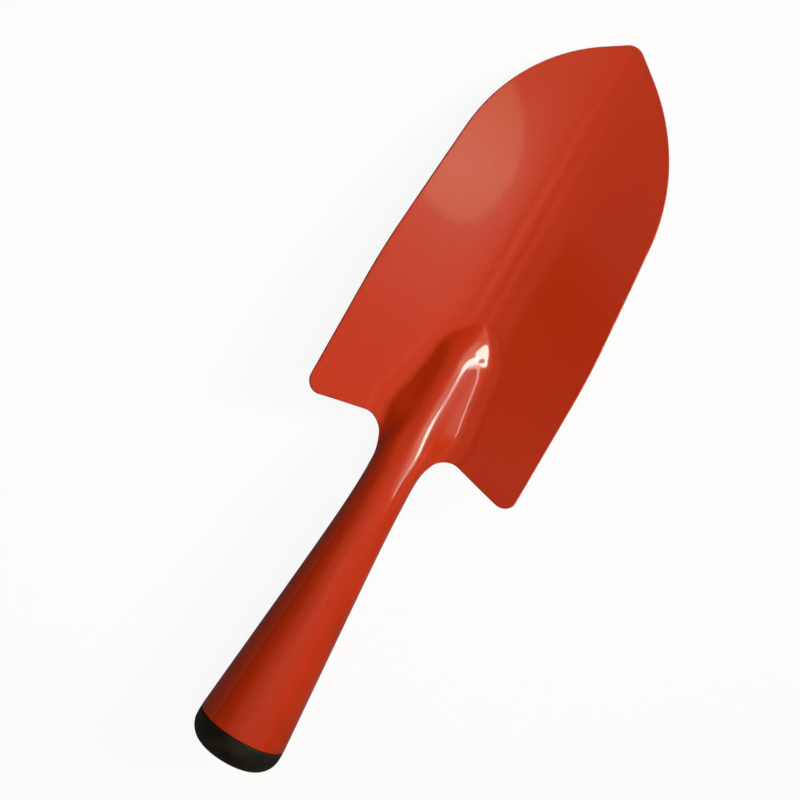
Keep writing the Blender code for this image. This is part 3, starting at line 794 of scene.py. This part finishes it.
def plug_profile(plug, handle):
    """The plug's turned outline, from the middle of its end face to the middle of its pocket's floor.

    Each place is (x, radius, share of the ribs' height that stands on it).
    """
    seat_x = -plug.clearance
    end_x = seat_x - plug.head_length
    wall_x = end_x + plug.wall
    spigot_end = plug.spigot_length
    end_radius = handle.end_radius - plug.rounding
    taper = plug.wall / 2

    def spigot_radius(x):
        return tube_radius(handle, max(x, 0)) - handle.thickness - plug.clearance - plug.rib_height

    turns = np.linspace(0, math.pi / 2, PLUG_ROUNDING_RINGS)
    return [
        *((end_x, radius, 0) for radius in np.linspace(0, end_radius, PLUG_FACE_RINGS, endpoint=False)),
        *((end_x + plug.rounding * (1 - math.cos(turned)), end_radius + plug.rounding * math.sin(turned), 0)
          for turned in turns),
        (seat_x - plug.clearance, handle.end_radius, 0),
        (seat_x, handle.end_radius - plug.clearance, 0),
        (seat_x, spigot_radius(0), 0),
        *((x, spigot_radius(x), 1) for x in np.linspace(seat_x + taper, spigot_end - taper, SPIGOT_RINGS)),
        (spigot_end, spigot_radius(spigot_end) - taper, 0),
        (spigot_end, spigot_radius(spigot_end) - plug.wall, 0),
        (seat_x, spigot_radius(0) - plug.wall, 0),
        *((wall_x, radius, 0) for radius in np.linspace(end_radius, 0, PLUG_FACE_RINGS)),
    ]


def turned_plug_tree():
    """Geometry nodes that turn an outline about X and raise crush ribs on it.

    The outline is a line of points with x along the axis, y as the radius and z as the ribs' share.
    """
    tree, given, result = new_group("Turned plug", "GeometryNodeTree", {
        "Geometry": "Geometry", "Segments": 128, "Rib Count": 8, "Rib Height": 0.0006, "Material": "Material",
    }, {"Geometry": "Geometry"})
    outline = given["Geometry"]
    rings = add_node(tree, "GeometryNodeAttributeDomainSize", {"Geometry": outline}).outputs["Point Count"]
    columns = add(given["Segments"], 1)
    grid = add_node(tree, "GeometryNodeMeshGrid", {"Vertices X": rings, "Vertices Y": columns}).outputs["Mesh"]
    index = add_node(tree, "GeometryNodeInputIndex").outputs["Index"]
    ring = calculate("FLOOR", divide(add(index, 0.5), columns))
    column = subtract(index, multiply(ring, columns))
    position = add_node(tree, "GeometryNodeInputPosition").outputs["Position"]
    sample = add_node(tree, "GeometryNodeSampleIndex", {"Geometry": outline, "Value": position, "Index": ring},
                      data_type="FLOAT_VECTOR", domain="POINT")
    drawn = add_node(tree, "ShaderNodeSeparateXYZ", {"Vector": sample.outputs["Value"]}).outputs
    swing = multiply(divide(column, given["Segments"]), 2 * math.pi)
    rib = smooth_step(calculate("COSINE", multiply(swing, given["Rib Count"])), *RIB_SIDES)
    radius = add(drawn["Y"], multiply(multiply(rib, drawn["Z"]), given["Rib Height"]))
    place = add_node(tree, "ShaderNodeCombineXYZ", {
        "X": drawn["X"],
        "Y": multiply(radius, calculate("SINE", swing)),
        "Z": multiply(radius, calculate("COSINE", swing)),
    }).outputs["Vector"]
    shape = grid
    for kind, inputs in (
            ("GeometryNodeSetPosition", {"Position": place}),
            ("GeometryNodeMergeByDistance", {"Distance": PLUG_MERGE}),
            ("GeometryNodeRealizeInstances", {}),
            ("GeometryNodeSetMaterial", {"Material": given["Material"]})):
        shape = add_node(tree, kind, {"Geometry": shape, **inputs}).outputs["Geometry"]
    tree.links.new(shape, result["Geometry"])
    return tree


class TROWEL_OT_ribbed_plug(Operator):
    """Turn the moulded plug and its crush ribs with geometry nodes"""

    bl_idname = "trowel.ribbed_plug"
    bl_label = "Ribbed Plug"

    def execute(self, context):
        scene = context.scene
        plug = scene.trowel_plug
        profile = plug_profile(plug, scene.trowel_handle)
        outline = bpy.data.meshes.new("plug_outline")
        outline.from_pydata(profile, [(step, step + 1) for step in range(len(profile) - 1)], [])
        drawing = new_object("plug_outline", outline)
        plastic = finishes()[1]

        tree = turned_plug_tree()
        turning = drawing.modifiers.new("Turned plug", "NODES")
        turning.node_group = tree
        values = {
            "Segments": plug.segments, "Rib Count": plug.rib_count, "Rib Height": plug.rib_height,
            "Material": plastic}
        for item in tree.interface.items_tree:
            if item.in_out == "INPUT" and item.name in values:
                turning[item.identifier] = values[item.name]
        mesh = bpy.data.meshes.new_from_object(drawing.evaluated_get(context.evaluated_depsgraph_get()))
        mesh.name = "ribbed_plug"
        drawing.modifiers.remove(turning)
        bpy.data.objects.remove(drawing)
        if len(mesh.polygons) == 0:
            raise RuntimeError("the plug's geometry nodes made no faces")
        mesh.transform(handle_frame())
        new_piece("ribbed_plug", mesh, plastic, "end_plug")
        mesh.set_sharp_from_angle(angle=SHARP_ANGLE)
        return {"FINISHED"}


class TROWEL_OT_stage(Operator):
    """Lay the floor, light the room, set up the camera and hang the lamps"""

    bl_idname = "trowel.stage"
    bl_label = "Stage"

    def execute(self, context):
        scene = context.scene
        stage = scene.trowel_stage
        turn = handle_frame().to_3x3() @ Matrix(CAMERA_AXES).transposed()
        self.lay_floor(stage)
        self.light_sky(scene, stage, turn)
        self.place_camera(scene, stage, turn)
        self.hang_lamps(stage, turn)
        return {"FINISHED"}

    def lay_floor(self, stage):
        """A plain floor that the camera sees white. It takes the trowel's shadow and throws little light back."""
        mesh = bpy.data.meshes.new("floor")
        corners = [(side * FLOOR_HALF, end * FLOOR_HALF, 0) for side, end in ((-1, -1), (1, -1), (1, 1), (-1, 1))]
        mesh.from_pydata(corners, [], [(0, 1, 2, 3)])
        material = bpy.data.materials.new("floor")
        material.use_nodes = True
        tree = material.node_tree
        tree.nodes.clear()
        paths = add_node(tree, "ShaderNodeLightPath").outputs
        mirrored = multiply(paths["Is Glossy Ray"], stage.floor_mirrored)
        seen = maximum(maximum(paths["Is Camera Ray"], mirrored), paths["Is Transmission Ray"])
        plain = add_node(tree, "ShaderNodeBsdfDiffuse", {"Color": opaque(stage.floor_colour)})
        lift = add_node(tree, "ShaderNodeEmission", {"Color": WHITE, "Strength": multiply(seen, stage.floor_lift)})
        both = add_node(tree, "ShaderNodeAddShader", {0: plain.outputs[0], 1: lift.outputs[0]})
        add_node(tree, "ShaderNodeOutputMaterial", {"Surface": both.outputs[0]})
        mesh.materials.append(material)
        new_object("floor", mesh)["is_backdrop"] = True

    def light_sky(self, scene, stage, turn):
        """A dim room that the enamel mirrors. The camera sees it white."""
        world = bpy.data.worlds.new("studio")
        scene.world = world
        world.use_nodes = True
        tree = world.node_tree
        direction = add_node(tree, "ShaderNodeTexCoord").outputs["Generated"]

        def toward(aimed, low, high):
            along = add_node(tree, "ShaderNodeVectorMath", {0: direction, 1: (turn @ Vector(aimed)).normalized()},
                             operation="DOT_PRODUCT")
            return smooth_step(along.outputs["Value"], low, high)

        height = add_node(tree, "ShaderNodeSeparateXYZ", {"Vector": direction}).outputs["Z"]
        walls = multiply(smooth_step(height, *WALL_LIGHT), stage.horizon)
        ceiling = multiply(toward(*CEILING_LIGHT), stage.ceiling)
        ceiling = multiply(ceiling, subtract(1.0, toward(*CEILING_GAP)))
        seen = add_node(tree, "ShaderNodeLightPath").outputs["Is Camera Ray"]
        background = tree.nodes["Background"].inputs
        tree.links.new(maximum(seen, add(walls, ceiling)), background["Strength"])
        tree.links.new(mix_colour(seen, opaque(stage.sky_colour), WHITE), background["Color"])

    def place_camera(self, scene, stage, turn):
        data = bpy.data.cameras.new("photograph")
        data.sensor_width = 36
        data.lens = stage.lens
        data.clip_start, data.clip_end = 0.01, 20
        camera = new_object("photograph", data)
        camera.matrix_world = Matrix.Translation(handle_frame() @ Vector(CAMERA_PLACE)) @ turn.to_4x4()
        scene.camera = camera

    def hang_lamps(self, stage, turn):
        """Hang each area lamp in its direction from the blade, facing it."""
        blade = Vector((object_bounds()[1].x / 2, 0, AIM_HEIGHT))
        for name, rightward, upward, distance, width, height, radiance, spread, colour, missing in LAMPS:
            data = bpy.data.lights.new(name, "AREA")
            data.shape = "RECTANGLE"
            data.size, data.size_y = width, height
            data.spread = math.radians(spread)
            data.color = getattr(stage, colour)
            data.energy = 4 * radiance * width * height
            lamp = new_object(name, data)
            backward = math.sqrt(1 - rightward ** 2 - upward ** 2)
            lamp.location = blade + turn @ Vector((rightward, upward, backward)) * distance
            lamp.rotation_euler = (blade - lamp.location).to_track_quat("-Z", "Y").to_euler()
            lamp.visible_camera = False
            setattr(lamp, missing, False)


class TROWEL_PT_panel(Panel):
    """Sizes, colours and pieces of the trowel"""

    bl_label = "Trowel"
    bl_idname = "TROWEL_PT_panel"
    bl_space_type = "VIEW_3D"
    bl_region_type = "UI"
    bl_category = "Trowel"

    def draw(self, context):
        for operator in OPERATORS:
            self.layout.operator(operator.bl_idname)
        for name, group in GROUPS.items():
            box = self.layout.box()
            values = getattr(context.scene, name)
            for field in group.__annotations__:
                box.prop(values, field)


OPERATORS = (TROWEL_OT_painted_body, TROWEL_OT_ribbed_plug, TROWEL_OT_stage)
GROUPS = {
    "trowel_handle": TrowelHandleSizes,
    "trowel_blade": TrowelBladeSizes,
    "trowel_tongue": TrowelTongueSizes,
    "trowel_plug": TrowelPlugSizes,
    "trowel_finish": TrowelFinish,
    "trowel_stage": TrowelStage,
}
CLASSES = (*GROUPS.values(), *OPERATORS, TROWEL_PT_panel)


def register():
    for item in CLASSES:
        bpy.utils.register_class(item)
    for name, group in GROUPS.items():
        setattr(bpy.types.Scene, name, PointerProperty(type=group))


def unregister():
    for name in GROUPS:
        delattr(bpy.types.Scene, name)
    for item in reversed(CLASSES):
        bpy.utils.unregister_class(item)


def main():
    register()
    bpy.context.scene.view_settings.view_transform = "Standard"
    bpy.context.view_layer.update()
    bpy.ops.trowel.painted_body()
    bpy.ops.trowel.ribbed_plug()
    bpy.ops.trowel.stage()


if __name__ == "__main__":
    main()
